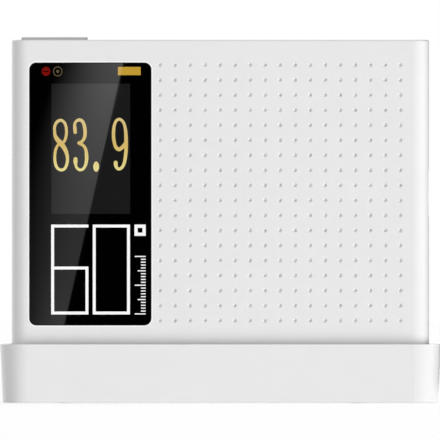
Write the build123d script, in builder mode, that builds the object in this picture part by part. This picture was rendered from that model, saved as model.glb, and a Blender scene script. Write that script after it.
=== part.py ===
from build123d import *
from math import cos, radians, sin, tan
import os

os.makedirs("parts", exist_ok=True)

# Compact 60 degree gloss meter standing in its calibration holder.
# All sizes are in millimetres. +X is to the right as seen from the front, -Y is the front, +Z is up.
# The origin is on the surface it stands on, under the middle of the holder.

# Holder, driving sizes
holder_width = 120.4
holder_depth = 41.0
holder_height = 15.9
holder_corner = 7.4
holder_draft = 0.72
holder_lead_in = 0.5
pocket_gap = 0.4
pocket_depth = 8.2
floor_thickness = 2.0
foot_height = 0.15
foot_radius = 4.5
foot_recess = 0.5
foot_span = (80.0, 23.0)
cover_thickness = 2.0
cover_inset = 2.2
cover_ledge = 1.2
cover_gap = 0.15
cover_screw_span = (103.0, 24.4)
cover_boss_radius = 3.0
tile_size = (42.0, 24.0)
tile_thickness = 3.0
tile_gap = 0.2
tile_drop = 0.15
tile_pad_thickness = 0.8
well_wall = 1.4
well_floor = 1.2
magnet_radius = 3.0
magnet_thickness = 1.5
magnet_span = 76.0
magnet_boss_wall = 1.2
magnet_gap = 0.05

# Meter case, driving sizes
case_width = 114.0
case_depth = 35.0
case_height = 91.35
case_corner = 4.4
case_wall = 2.4
case_top_edge = 0.6
front_depth = 23.5
seam_bevel = 0.2
lip_thickness = 1.0
lip_height = 1.2
lip_gap = 0.1
plate_thickness = 2.5
plate_gap = 0.1
plate_ledge = 1.2
plate_ledge_height = 1.5
plate_boss_radius = 2.6
plate_boss_height = 7.0
plate_screw_inset = 4.8
disc_radius = 5.0
disc_thickness = 1.0

# Grip dimples on the front face
dimple_columns = 17
dimple_rows = 18
dimple_pitch = 4.105
dimple_radius = 0.65
dimple_depth = 0.75
dimple_sides = 8
dimple_x = 16.25
dimple_height = 49.6

# Window and display
window_width = 33.3
window_height = 71.7
window_corner = 1.9
window_thickness = 1.2
window_recess = 1.3
window_gap = 0.06
window_side_margin = 4.85
window_top_margin = 6.25
window_bevel = 0.18
bezel_chamfer = 0.1
screen_width = 21.7
screen_height = 35.6
screen_x = 0.1
screen_drop = 29.65
screen_margin = 0.3
panel_thickness = 1.7
panel_side_border = 1.4
panel_top_border = 0.9
panel_bottom_border = 3.4
gasket_thickness = 0.5
frame_wall = 0.7
frame_gap = 0.1
frame_lip = 1.0
frame_ledge = 1.2
flex_width = 12.0
flex_thickness = 0.25
flex_bend = 1.2

# Status lights above the screen
status_drop = 8.6
status_radius = 1.3
status_offsets = (-12.1, -8.9)
status_bar = (6.5, 2.6)
status_bar_offset = 10.7
guide_gap = 0.1
guide_margin = 0.3
led_size = 1.6
led_height = 1.0
led_gap = 0.2

# Main board
board_thickness = 1.6
board_side_gap = 0.8
board_height = 45.5
board_top_gap = 4.6
board_standoff = 6.1
standoff_radius = 2.2
standoff_inset = 3.2
standoff_drops = (11.1, 31.5)
notch_gap = 0.6
board_screw_depth = 5.0
board_screw_length = 6.1
chip_size = 10.0
chip_height = 1.2
chip_bevel = 0.25
driver_size = (5.0, 6.0)
driver_right = 14.0
driver_lifts = (4.0, -6.0)
crystal_size = (3.2, 5.0)
crystal_place = (-9.0, 8.0)
capacitor_size = (2.0, 1.25)
capacitor_count = 4
capacitor_pitch = 4.0
capacitor_place = (30.0, -18.0)
component_height = 1.0
buzzer_radius = 4.5
buzzer_height = 2.5
buzzer_hole_radius = 0.8
buzzer_hole_depth = 1.0
buzzer_x = 12.0
buzzer_drop = 14.0

# Data port in the right side wall, and the rubber plug that closes it
port_height = 49.6
port_recess = (7.6, 13.6)
port_recess_depth = 1.0
port_recess_corner = 1.6
port_slot = (4.0, 9.0)
port_slot_corner = 1.0
port_sunk = 0.15
port_gap = 0.1
port_grip = (0.8, 5.0)
port_grip_depth = 0.35
port_grip_inset = 1.2
socket_size = (5.6, 2.8, 7.6)
socket_wall = 0.3
socket_back = 1.0
socket_overhang = 0.5
socket_tongue = (3.8, 0.6, 5.0)

# Case screws
boss_radius = 2.5
boss_inset = 6.5
boss_low = 13.0
boss_high = 86.0
boss_left_top = -32.0
boss_meet_gap = 0.1
case_screw_radius = 1.25
case_screw_head = 2.3
case_screw_head_height = 1.8
case_screw_sunk = 0.4
case_screw_length = 18.0

# Small screws of the holder, the measuring face, the optics and the board
small_shaft = 1.0
small_head = 1.9
small_head_height = 1.1
small_sunk = 0.2
screw_gap = 0.05
cross_length = 1.1
cross_width = 0.25
cross_depth = 0.5
cover_screw_length = 4.2
plate_screw_length = 7.0
optics_screw_length = 7.0

# Measuring button and its switch
button_length = 18.1
button_width = 10.0
button_corner = 1.2
button_proud = 0.8
button_rounding = 0.5
button_left_margin = 2.55
button_y = -4.0
button_gap = 0.25
button_flange = 1.0
button_flange_gap = 0.2
button_travel = 0.6
stem_size = (4.0, 2.0)
switch_size = (6.0, 3.5, 4.5)
switch_drop = 1.5
plunger_size = (3.0, 1.6)
plunger_height = 1.4
plunger_depth = 0.7
plunger_gap = 0.1
plunger_room = 0.2

# Battery, its bay and its door
battery_radius = 7.1
battery_length = 49.5
battery_nub_radius = 2.75
battery_nub_length = 1.0
battery_gap = 0.4
bay_x = 18.75
bay_height = 72.0
bay_length = 55.0
bay_wall = 1.4
contact_thickness = 0.4
contact_width = 9.0
contact_leg = 3.0
leaf_span = 10.0
leaf_width = 4.0
door_thickness = 1.8
door_gap = 0.25
door_seat_gap = 0.1
door_ledge = 1.6
door_corner = 0.8
door_pad = 1.0
hinge_radius = 1.5
hinge_pin_radius = 0.7
hinge_pin_length = 1.2
hinge_pin_gap = 0.08
hinge_room = 0.3
tongue_size = (8.0, 1.2, 2.8)
tongue_gap = 0.35
groove_length = 16.0
groove_width = 0.8
groove_depth = 0.4
groove_pitch = 1.6
groove_count = 3

# Optics, measured along each arm from the measuring spot
beam_angle = 60.0
block_depth = 20.0
arm_height = 15.0
arm_reach = 56.0
bridge_width = 26.0
bridge_top = 16.0
beam_radius = 4.0
lens_seat = 22.0
lens_radius = 5.0
lens_edge = 1.5
lens_dome_radius = 4.0
lens_dome = 1.2
bore_gap = 0.1
tube_wall = 0.8
slit_seat = 46.0
slit_thickness = 1.0
slit_size = (3.0, 1.0)
filter_thickness = 2.0
collar_wall = 1.5
sensor_board_thickness = 1.2
sensor_board_size = (19.0, 14.0)
sensor_screw_span = 15.2
sensor_screw_radius = 0.8
sensor_screw_head = 1.5
sensor_screw_head_height = 1.0
sensor_screw_length = 6.0
lamp_radius = 2.5
lamp_flange = 0.5
lamp_flange_thickness = 1.0
lamp_length = 4.5
diode_radius = 3.2
diode_length = 3.5
diode_window = 2.0
diode_window_depth = 0.3
aperture_length = 26.0
aperture_width = 11.5
optics_screw_span = (28.0, 14.4)
lead_radius = 0.8
lead_offset = 3.5
lead_start = 2.4
lead_bend_share = 0.45
connector_size = (5.0, 3.6, 3.5)
connector_lift = 2.5

# Levels and planes that follow from the sizes above
holder_bottom = foot_height
holder_top = holder_bottom + holder_height
seat = holder_top - pocket_depth
floor_under = seat - floor_thickness
cover_top = holder_bottom + cover_thickness
case_bottom = seat
case_top = case_bottom + case_height
front_y = -case_depth / 2
back_y = case_depth / 2
parting_y = front_y + front_depth
front_inner_y = front_y + case_wall
back_inner_y = back_y - case_wall
inner_width = case_width - 2 * case_wall
inner_depth = case_depth - 2 * case_wall
inner_corner = case_corner - case_wall
top_inner = case_top - case_wall
plate_top = case_bottom + plate_thickness
window_x = -case_width / 2 + window_side_margin + window_width / 2
window_z = case_top - window_top_margin - window_height / 2
display_x = window_x + screen_x
display_z = case_top - screen_drop
status_z = case_top - status_drop
board_front_y = front_inner_y + board_standoff
board_back_y = board_front_y + board_thickness
board_width = inner_width - 2 * board_side_gap
board_top = top_inner - board_top_gap
board_z = board_top - board_height / 2
board_low = board_top - board_height
small_hole = small_shaft + screw_gap
small_bore = small_head + 2 * screw_gap
small_bore_depth = small_head_height + small_sunk
bay_z = case_bottom + bay_height
port_y = board_front_y - socket_size[1] / 2
port_z = case_bottom + port_height


def upright(y):
    """Vertical plane at depth y, with local x to the right and local y up."""
    return Plane.XZ.offset(-y)


def from_below(z):
    """Level plane at height z that faces down."""
    return Plane(origin=(0, 0, z), x_dir=(1, 0, 0), z_dir=(0, 0, -1))


def seam_edges(shell):
    """Outer edges of a half shell along the parting plane."""
    seam = shell.edges().filter_by_position(Axis.Y, parting_y, parting_y)
    outer_x = case_width / 2 - case_top_edge
    outer_z = case_top - case_top_edge
    return [e for e in seam if abs(e.center().X) > outer_x or e.center().Z > outer_z]


def pan_screw(shaft, head, head_height, length):
    """Pan-head screw, seated at z = 0 with its point down and a cross recess sized by the head."""
    with BuildPart() as screw:
        Cylinder(shaft, length, align=(Align.CENTER, Align.CENTER, Align.MAX))
        Cylinder(head, head_height, align=(Align.CENTER, Align.CENTER, Align.MIN))
        with BuildSketch(Plane.XY.offset(head_height)):
            Rectangle(head * cross_length, head * cross_width)
            Rectangle(head * cross_width, head * cross_length)
        extrude(amount=-head_height * cross_depth, mode=Mode.SUBTRACT)
    return screw.part


# Holder: a drafted tray whose pocket the meter slips into
bottom_width = holder_width - 2 * holder_draft
bottom_depth = holder_depth - 2 * holder_draft
bottom_corner = holder_corner - holder_draft
cover_pocket_width = bottom_width - 2 * cover_inset
cover_pocket_depth = bottom_depth - 2 * cover_inset
cover_pocket_corner = bottom_corner - cover_inset
tile_top = seat - tile_drop
tile_bottom = tile_top - tile_thickness
well_bottom = tile_bottom - tile_pad_thickness
magnet_top = seat - magnet_gap
magnet_bottom = magnet_top - magnet_thickness
magnet_boss_height = magnet_thickness + magnet_gap + magnet_boss_wall - floor_thickness

with BuildPart() as holder_shell:
    with BuildSketch(Plane.XY.offset(holder_bottom)):
        RectangleRounded(bottom_width, bottom_depth, bottom_corner)
    with BuildSketch(Plane.XY.offset(holder_top)):
        RectangleRounded(holder_width, holder_depth, holder_corner)
    loft(ruled=True)
    with BuildSketch(Plane.XY.offset(holder_top)):
        RectangleRounded(
            case_width + 2 * pocket_gap, case_depth + 2 * pocket_gap, case_corner + pocket_gap
        )
    extrude(amount=-pocket_depth, mode=Mode.SUBTRACT)
    rim = holder_shell.faces().filter_by(Axis.Z).sort_by(Axis.Z)[-1]
    chamfer(rim.inner_wires()[0].edges(), length=holder_lead_in)
    with BuildSketch(from_below(holder_bottom)):
        RectangleRounded(cover_pocket_width, cover_pocket_depth, cover_pocket_corner)
    extrude(amount=-cover_thickness, mode=Mode.SUBTRACT)
    with BuildSketch(from_below(cover_top)):
        RectangleRounded(
            cover_pocket_width - 2 * cover_ledge,
            cover_pocket_depth - 2 * cover_ledge,
            cover_pocket_corner - cover_ledge,
        )
    extrude(amount=cover_top - floor_under, mode=Mode.SUBTRACT)
    with BuildSketch(Plane.XY.offset(cover_top)):
        with GridLocations(*cover_screw_span, 2, 2):
            Circle(cover_boss_radius)
    extrude(amount=floor_under - cover_top)
    with BuildSketch(Plane.XY.offset(well_bottom - well_floor)):
        Rectangle(
            tile_size[0] + 2 * (tile_gap + well_wall), tile_size[1] + 2 * (tile_gap + well_wall)
        )
    extrude(amount=floor_under - well_bottom + well_floor)
    with BuildSketch(Plane.XY.offset(floor_under)):
        with GridLocations(magnet_span, 0, 2, 1):
            Circle(magnet_radius + magnet_boss_wall)
    extrude(amount=-magnet_boss_height)
    with BuildSketch(Plane.XY.offset(seat)):
        Rectangle(tile_size[0] + 2 * tile_gap, tile_size[1] + 2 * tile_gap)
    extrude(amount=well_bottom - seat, mode=Mode.SUBTRACT)
    with BuildSketch(Plane.XY.offset(seat)):
        with GridLocations(magnet_span, 0, 2, 1):
            Circle(magnet_radius + magnet_gap)
    extrude(amount=magnet_bottom - seat, mode=Mode.SUBTRACT)
    with BuildSketch(from_below(cover_top)):
        with GridLocations(*cover_screw_span, 2, 2):
            Circle(small_hole)
    extrude(amount=cover_top - floor_under, mode=Mode.SUBTRACT)
holder_shell.part.label = "holder_shell"
export_step(holder_shell.part, "parts/holder_shell.step")

with BuildPart() as holder_base_cover:
    with BuildSketch(Plane.XY.offset(holder_bottom)):
        RectangleRounded(
            cover_pocket_width - 2 * cover_gap,
            cover_pocket_depth - 2 * cover_gap,
            cover_pocket_corner - cover_gap,
        )
    extrude(amount=cover_thickness)
    with Locations(from_below(holder_bottom)):
        with GridLocations(*cover_screw_span, 2, 2):
            CounterBoreHole(small_hole, small_bore, small_bore_depth, cover_thickness)
    with BuildSketch(from_below(holder_bottom)):
        with GridLocations(*foot_span, 2, 2):
            Circle(foot_radius + screw_gap)
    extrude(amount=-foot_recess, mode=Mode.SUBTRACT)
holder_base_cover.part.label = "holder_base_cover"
export_step(holder_base_cover.part, "parts/holder_base_cover.step")

with BuildPart() as holder_screws:
    with Locations(from_below(holder_bottom + small_bore_depth)):
        with GridLocations(*cover_screw_span, 2, 2):
            add(pan_screw(small_shaft, small_head, small_head_height, cover_screw_length))
holder_screws.part.label = "holder_screws"
export_step(holder_screws.part, "parts/holder_screws.step")

with BuildPart() as holder_feet:
    with BuildSketch():
        with GridLocations(*foot_span, 2, 2):
            Circle(foot_radius)
    extrude(amount=foot_height + foot_recess)
holder_feet.part.label = "holder_feet"
export_step(holder_feet.part, "parts/holder_feet.step")

with BuildPart() as tile_pad:
    with BuildSketch(Plane.XY.offset(well_bottom)):
        Rectangle(*tile_size)
    extrude(amount=tile_pad_thickness)
tile_pad.part.label = "tile_pad"
export_step(tile_pad.part, "parts/tile_pad.step")

with BuildPart() as calibration_tile:
    with BuildSketch(Plane.XY.offset(tile_bottom)):
        Rectangle(*tile_size)
    extrude(amount=tile_thickness)
    chamfer(calibration_tile.faces().sort_by(Axis.Z)[-1].edges(), length=tile_gap)
calibration_tile.part.label = "calibration_tile"
export_step(calibration_tile.part, "parts/calibration_tile.step")

with BuildPart() as holder_magnets:
    with BuildSketch(Plane.XY.offset(magnet_bottom)):
        with GridLocations(magnet_span, 0, 2, 1):
            Circle(magnet_radius)
    extrude(amount=magnet_thickness)
holder_magnets.part.label = "holder_magnets"
export_step(holder_magnets.part, "parts/holder_magnets.step")

# Case: one rounded box, hollow and open below, parted into a front and a rear shell
with BuildPart() as case_blank:
    with BuildSketch(Plane.XY.offset(case_bottom)):
        RectangleRounded(case_width, case_depth, case_corner)
    extrude(amount=case_height)
    fillet(case_blank.faces().sort_by(Axis.Z)[-1].edges(), radius=case_top_edge)
    with BuildSketch(Plane.XY.offset(case_bottom)):
        RectangleRounded(inner_width, inner_depth, inner_corner)
    extrude(amount=case_height - case_wall, mode=Mode.SUBTRACT)
    with BuildSketch(Plane.XY.offset(plate_top)):
        RectangleRounded(inner_width, inner_depth, inner_corner)
        RectangleRounded(
            inner_width - 2 * plate_ledge,
            inner_depth - 2 * plate_ledge,
            inner_corner - plate_ledge,
            mode=Mode.SUBTRACT,
        )
    extrude(amount=plate_ledge_height)
    with BuildSketch(Plane.XY.offset(plate_top)):
        with GridLocations(
            case_width - 2 * plate_screw_inset, case_depth - 2 * plate_screw_inset, 2, 2
        ):
            Circle(plate_boss_radius)
    extrude(amount=plate_boss_height)
    with BuildSketch(Plane.XY.offset(plate_top)):
        with GridLocations(
            case_width - 2 * plate_screw_inset, case_depth - 2 * plate_screw_inset, 2, 2
        ):
            Circle(small_hole)
    extrude(amount=plate_boss_height, mode=Mode.SUBTRACT)

boss_places = [
    (boss_left_top, case_bottom + boss_high),
    (case_width / 2 - boss_inset, case_bottom + boss_high),
    (boss_inset - case_width / 2, case_bottom + boss_low),
    (case_width / 2 - boss_inset, case_bottom + boss_low),
]
standoff_x = inner_width / 2 - standoff_inset
standoff_places = [
    (side * standoff_x, top_inner - drop) for side in (-1, 1) for drop in standoff_drops
]
status_pins = [(window_x + offset, status_z) for offset in status_offsets]
status_bar_place = (window_x + status_bar_offset, status_z)

with BuildPart() as dimple:
    with BuildSketch() as dimple_mouth:
        RegularPolygon(dimple_radius, dimple_sides)
    loft(sections=[dimple_mouth.face(), Vertex(0, 0, -dimple_depth)], ruled=True)

# Front shell: window seat, grip dimples, button hole, data port, bosses and standoffs
button_x = -case_width / 2 + button_left_margin + button_length / 2

with BuildPart() as front_shell:
    add(case_blank.part)
    split(bisect_by=upright(parting_y), keep=Keep.TOP)
    chamfer(seam_edges(front_shell), length=seam_bevel)
    with BuildSketch(upright(front_y)):
        with Locations((window_x, window_z)):
            RectangleRounded(
                window_width + 2 * window_gap,
                window_height + 2 * window_gap,
                window_corner + window_gap,
            )
    extrude(amount=-window_recess, mode=Mode.SUBTRACT)
    face = front_shell.faces().filter_by(Axis.Y).sort_by(Axis.Y)[0]
    chamfer(face.inner_wires()[0].edges(), length=bezel_chamfer)
    with BuildSketch(upright(front_inner_y)):
        with Locations((display_x, display_z)):
            Rectangle(screen_width + 2 * screen_margin, screen_height + 2 * screen_margin)
        with Locations(*status_pins):
            Circle(status_radius + guide_gap)
        with Locations(status_bar_place):
            Rectangle(status_bar[0] + 2 * guide_gap, status_bar[1] + 2 * guide_gap)
    extrude(amount=case_wall - window_recess, mode=Mode.SUBTRACT)
    with Locations(upright(front_y)):
        with Locations((dimple_x, case_bottom + dimple_height)):
            with GridLocations(dimple_pitch, dimple_pitch, dimple_columns, dimple_rows):
                add(dimple.part, mode=Mode.SUBTRACT)
    with BuildSketch(Plane.XY.offset(case_top)):
        with Locations((button_x, button_y)):
            RectangleRounded(
                button_length + 2 * button_gap, button_width + 2 * button_gap, button_corner
            )
    extrude(amount=-case_wall, mode=Mode.SUBTRACT)
    with BuildSketch(Plane.YZ.offset(case_width / 2)):
        with Locations((port_y, port_z)):
            RectangleRounded(*port_recess, port_recess_corner)
    extrude(amount=-port_recess_depth, mode=Mode.SUBTRACT)
    with BuildSketch(Plane.YZ.offset(case_width / 2)):
        with Locations((port_y, port_z)):
            RectangleRounded(*port_slot, port_slot_corner)
    extrude(amount=-case_wall, mode=Mode.SUBTRACT)
    with BuildSketch(upright(front_inner_y)):
        with Locations(*boss_places):
            Circle(boss_radius)
    extrude(amount=front_inner_y - parting_y + boss_meet_gap)
    with BuildSketch(upright(front_inner_y)):
        with Locations(*standoff_places):
            Circle(standoff_radius)
    extrude(amount=-board_standoff)
    with BuildSketch(upright(parting_y)):
        with Locations(*boss_places):
            Circle(case_screw_radius + screw_gap)
    extrude(amount=front_depth - case_wall, mode=Mode.SUBTRACT)
    with BuildSketch(upright(board_front_y)):
        with Locations(*standoff_places):
            Circle(small_hole)
    extrude(amount=board_screw_depth, mode=Mode.SUBTRACT)
    with BuildSketch(upright(parting_y)):
        with Locations((0, case_bottom)):
            Rectangle(
                inner_width + 2 * (lip_thickness + lip_gap),
                2 * (case_height - case_wall + lip_thickness + lip_gap),
            )
            Rectangle(inner_width, 2 * (case_height - case_wall), mode=Mode.SUBTRACT)
    extrude(amount=lip_height + lip_gap, mode=Mode.SUBTRACT)
front_shell.part.label = "front_shell"
export_step(front_shell.part, "parts/front_shell.step")

# Rear shell: lip, screw bosses, battery tub, door recess and hinge sockets
bay_width = 2 * (battery_radius + battery_gap)
bay_low = bay_z - bay_width / 2
bay_high = bay_z + bay_width / 2
door_inner_y = back_y - door_thickness
battery_y = door_inner_y - battery_gap - battery_radius
bay_front_y = battery_y - battery_radius - battery_gap
trough_high = bay_low - bay_wall
trough_low = trough_high - 2 * (hinge_radius + door_gap)
hinge_y = back_y - hinge_radius
hinge_z = trough_low + door_gap + hinge_radius
trough_y = hinge_y - hinge_radius - hinge_room
door_width = bay_length + 2 * door_ledge
door_high = bay_high + door_ledge
recess_width = door_width + 2 * door_gap
recess_low = trough_low
recess_high = door_high + door_gap
recess_height = recess_high - recess_low
recess_z = (recess_high + recess_low) / 2
trough_z = (trough_high + trough_low) / 2
contact_x = bay_length / 2 - contact_thickness / 2

with BuildPart() as rear_shell:
    add(case_blank.part)
    split(bisect_by=upright(parting_y), keep=Keep.BOTTOM)
    chamfer(seam_edges(rear_shell), length=seam_bevel)
    with BuildSketch(upright(parting_y)):
        with Locations((0, case_bottom)):
            Rectangle(
                inner_width + 2 * lip_thickness, 2 * (case_height - case_wall + lip_thickness)
            )
            Rectangle(inner_width, 2 * (case_height - case_wall), mode=Mode.SUBTRACT)
        with Locations((0, case_bottom - case_height)):
            Rectangle(2 * case_width, 2 * case_height, mode=Mode.SUBTRACT)
    extrude(amount=lip_height)
    with BuildSketch(upright(back_inner_y)):
        with Locations(*boss_places):
            Circle(boss_radius)
    extrude(amount=back_inner_y - parting_y)
    with BuildSketch(upright(back_inner_y)):
        with Locations((bay_x, recess_z)):
            RectangleRounded(
                recess_width + 2 * bay_wall, recess_height + 2 * bay_wall, door_corner + bay_wall
            )
    extrude(amount=door_pad)
    with BuildSketch(upright(back_inner_y)):
        with Locations((bay_x, bay_z)):
            Rectangle(bay_length + 2 * bay_wall, bay_width + 2 * bay_wall)
    extrude(amount=back_inner_y - bay_front_y + bay_wall)
    with BuildSketch(upright(back_inner_y)):
        with Locations((bay_x, trough_z)):
            Rectangle(
                recess_width + 2 * (hinge_pin_length + bay_wall),
                trough_high - trough_low + 2 * bay_wall,
            )
    extrude(amount=back_inner_y - trough_y + bay_wall)
    with BuildSketch(upright(back_y)):
        with Locations((bay_x, recess_z)):
            RectangleRounded(recess_width, recess_height, door_corner)
    extrude(amount=door_thickness + door_seat_gap, mode=Mode.SUBTRACT)
    with BuildSketch(upright(back_y)):
        with Locations((bay_x, trough_z)):
            Rectangle(recess_width, trough_high - trough_low)
    extrude(amount=back_y - trough_y, mode=Mode.SUBTRACT)
    with BuildSketch(upright(back_y)):
        with Locations((bay_x, bay_z)):
            Rectangle(bay_length, bay_width)
    extrude(amount=back_y - bay_front_y, mode=Mode.SUBTRACT)
    with Locations((bay_x, hinge_y, hinge_z)):
        Cylinder(
            hinge_pin_radius + hinge_pin_gap,
            recess_width + 2 * hinge_pin_length,
            rotation=(0, 90, 0),
            mode=Mode.SUBTRACT,
        )
    with BuildSketch(upright(bay_front_y)):
        for side in (-1, 1):
            with Locations((bay_x + side * (contact_x - battery_gap / 2), bay_z)):
                Rectangle(contact_thickness + battery_gap, contact_leg + 2 * battery_gap)
    extrude(amount=bay_wall, mode=Mode.SUBTRACT)
    with BuildSketch(upright(back_y)):
        with Locations(*boss_places):
            Circle(case_screw_head + 2 * screw_gap)
    extrude(amount=case_screw_head_height + case_screw_sunk, mode=Mode.SUBTRACT)
    with BuildSketch(upright(back_y)):
        with Locations(*boss_places):
            Circle(case_screw_radius + 2 * screw_gap)
    extrude(amount=case_depth - front_depth, mode=Mode.SUBTRACT)
rear_shell.part.label = "rear_shell"
export_step(rear_shell.part, "parts/rear_shell.step")

with BuildPart() as case_screws:
    head_seat_y = back_y - case_screw_sunk - case_screw_head_height
    with Locations(Plane(origin=(0, head_seat_y, 0), x_dir=(-1, 0, 0), z_dir=(0, 1, 0))):
        with Locations(*[(-x, z) for x, z in boss_places]):
            add(
                pan_screw(
                    case_screw_radius, case_screw_head, case_screw_head_height, case_screw_length
                )
            )
case_screws.part.label = "case_screws"
export_step(case_screws.part, "parts/case_screws.step")

# Measuring face: a metal plate with the measuring aperture, which also carries the optics
with BuildPart() as bottom_plate:
    with BuildSketch(Plane.XY.offset(case_bottom)):
        RectangleRounded(
            inner_width - 2 * plate_gap, inner_depth - 2 * plate_gap, inner_corner - plate_gap
        )
        SlotOverall(aperture_length, aperture_width, mode=Mode.SUBTRACT)
    extrude(amount=plate_thickness)
    with Locations(from_below(case_bottom)):
        with GridLocations(
            case_width - 2 * plate_screw_inset, case_depth - 2 * plate_screw_inset, 2, 2
        ):
            CounterBoreHole(small_hole, small_bore, small_bore_depth, plate_thickness)
        with GridLocations(*optics_screw_span, 2, 2):
            CounterBoreHole(small_hole, small_bore, small_bore_depth, plate_thickness)
    with BuildSketch(from_below(case_bottom)):
        with GridLocations(magnet_span, 0, 2, 1):
            Circle(disc_radius + screw_gap)
    extrude(amount=-disc_thickness - screw_gap, mode=Mode.SUBTRACT)
bottom_plate.part.label = "bottom_plate"
export_step(bottom_plate.part, "parts/bottom_plate.step")

with BuildPart() as keeper_discs:
    with BuildSketch(Plane.XY.offset(case_bottom + screw_gap)):
        with GridLocations(magnet_span, 0, 2, 1):
            Circle(disc_radius)
    extrude(amount=disc_thickness)
keeper_discs.part.label = "keeper_discs"
export_step(keeper_discs.part, "parts/keeper_discs.step")

with BuildPart() as plate_screws:
    with Locations(from_below(case_bottom + small_bore_depth)):
        with GridLocations(
            case_width - 2 * plate_screw_inset, case_depth - 2 * plate_screw_inset, 2, 2
        ):
            add(pan_screw(small_shaft, small_head, small_head_height, plate_screw_length))
plate_screws.part.label = "plate_screws"
export_step(plate_screws.part, "parts/plate_screws.step")

with BuildPart() as optics_screws:
    with Locations(from_below(case_bottom + small_bore_depth)):
        with GridLocations(*optics_screw_span, 2, 2):
            add(pan_screw(small_shaft, small_head, small_head_height, optics_screw_length))
optics_screws.part.label = "optics_screws"
export_step(optics_screws.part, "parts/optics_screws.step")

# Window and display stack, from the front backwards
window_back_y = front_y + window_recess
panel_front_y = front_inner_y + gasket_thickness
panel_back_y = panel_front_y + panel_thickness
panel_width = screen_width + 2 * panel_side_border
panel_height = screen_height + panel_top_border + panel_bottom_border
panel_z = display_z + (panel_top_border - panel_bottom_border) / 2

with BuildPart() as display_window:
    with BuildSketch(upright(window_back_y)):
        with Locations((window_x, window_z)):
            RectangleRounded(window_width, window_height, window_corner)
    extrude(amount=window_thickness)
    chamfer(display_window.faces().sort_by(Axis.Y)[0].edges(), length=window_bevel)
display_window.part.label = "display_window"
export_step(display_window.part, "parts/display_window.step")

with BuildPart() as display_gasket:
    with BuildSketch(upright(front_inner_y)):
        with Locations((display_x, panel_z)):
            Rectangle(panel_width, panel_height)
        with Locations((display_x, display_z)):
            Rectangle(
                screen_width + 2 * screen_margin,
                screen_height + 2 * screen_margin,
                mode=Mode.SUBTRACT,
            )
    extrude(amount=-gasket_thickness)
display_gasket.part.label = "display_gasket"
export_step(display_gasket.part, "parts/display_gasket.step")

with BuildPart() as display_panel:
    with BuildSketch(upright(panel_front_y)):
        with Locations((display_x, panel_z)):
            Rectangle(panel_width, panel_height)
    extrude(amount=-panel_thickness)
display_panel.part.label = "display_panel"
export_step(display_panel.part, "parts/display_panel.step")

with BuildPart() as display_frame:
    with BuildSketch(upright(board_front_y)):
        with Locations((display_x, panel_z)):
            Rectangle(
                panel_width + 2 * (frame_gap + frame_wall),
                panel_height + 2 * (frame_gap + frame_wall),
            )
            Rectangle(
                panel_width - 2 * frame_ledge, panel_height - 2 * frame_ledge, mode=Mode.SUBTRACT
            )
    extrude(amount=board_front_y - panel_back_y + frame_lip)
    with BuildSketch(upright(panel_back_y)):
        with Locations((display_x, panel_z)):
            Rectangle(panel_width + 2 * frame_gap, panel_height + 2 * frame_gap)
    extrude(amount=frame_lip, mode=Mode.SUBTRACT)
display_frame.part.label = "display_frame"
export_step(display_frame.part, "parts/display_frame.step")

flex_low = panel_z - panel_height / 2 + 2 * frame_ledge
flex_rise = board_front_y - panel_back_y
with BuildPart() as display_flex:
    with BuildLine(Plane.YZ.offset(display_x)) as flex_path:
        FilletPolyline(
            (panel_back_y + flex_thickness / 2, flex_low),
            (panel_back_y + flex_thickness / 2, flex_low + flex_rise),
            (board_front_y - flex_thickness / 2, flex_low + 3 * flex_rise),
            (board_front_y - flex_thickness / 2, flex_low + 4 * flex_rise),
            radius=flex_bend,
        )
    with BuildSketch(Plane(origin=flex_path.line @ 0, x_dir=(1, 0, 0), z_dir=(0, 0, 1))):
        Rectangle(flex_width, flex_thickness)
    sweep()
display_flex.part.label = "display_flex"
export_step(display_flex.part, "parts/display_flex.step")

# Status lights: light guides between the window and the lamps on the board
guide_back_y = board_front_y - led_height - led_gap
guide_height = 2 * status_radius
pin_span = status_offsets[1] - status_offsets[0]
pin_middle = window_x + (status_offsets[0] + status_offsets[1]) / 2

with BuildPart() as light_guides:
    with BuildSketch(upright(front_inner_y)):
        with Locations((pin_middle, status_z)):
            Rectangle(pin_span + 2 * (status_radius + guide_margin), guide_height)
        with Locations(status_bar_place):
            Rectangle(status_bar[0] + 2 * guide_margin, guide_height)
    extrude(amount=front_inner_y - guide_back_y)
    with BuildSketch(upright(front_inner_y)):
        with Locations(*status_pins):
            Circle(status_radius)
        with Locations(status_bar_place):
            Rectangle(*status_bar)
    extrude(amount=case_wall - window_recess)
light_guides.part.label = "light_guides"
export_step(light_guides.part, "parts/light_guides.step")

with BuildPart() as status_leds:
    with BuildSketch(upright(board_front_y)):
        with Locations(*status_pins, status_bar_place):
            Rectangle(led_size, led_size)
    extrude(amount=led_height)
status_leds.part.label = "status_leds"
export_step(status_leds.part, "parts/status_leds.step")

# Main board with its parts
with BuildPart() as main_board:
    with BuildSketch(upright(board_back_y)):
        with Locations((0, board_z)):
            Rectangle(board_width, board_height)
        with Locations(*boss_places):
            Circle(boss_radius + notch_gap, mode=Mode.SUBTRACT)
        with Locations(*standoff_places):
            Circle(small_hole, mode=Mode.SUBTRACT)
    extrude(amount=board_thickness)
main_board.part.label = "main_board"
export_step(main_board.part, "parts/main_board.step")

with BuildPart() as board_screws:
    with Locations(Plane(origin=(0, board_back_y, 0), x_dir=(-1, 0, 0), z_dir=(0, 1, 0))):
        with Locations(*[(-x, z) for x, z in standoff_places]):
            add(pan_screw(small_shaft, small_head, small_head_height, board_screw_length))
board_screws.part.label = "board_screws"
export_step(board_screws.part, "parts/board_screws.step")

with BuildPart() as processor:
    with BuildSketch(upright(board_back_y)):
        with Locations((window_x, board_z)):
            Rectangle(chip_size, chip_size)
    extrude(amount=-chip_height)
    chamfer(processor.faces().sort_by(Axis.Y)[-1].edges(), length=chip_bevel)
processor.part.label = "processor"
export_step(processor.part, "parts/processor.step")

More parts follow.
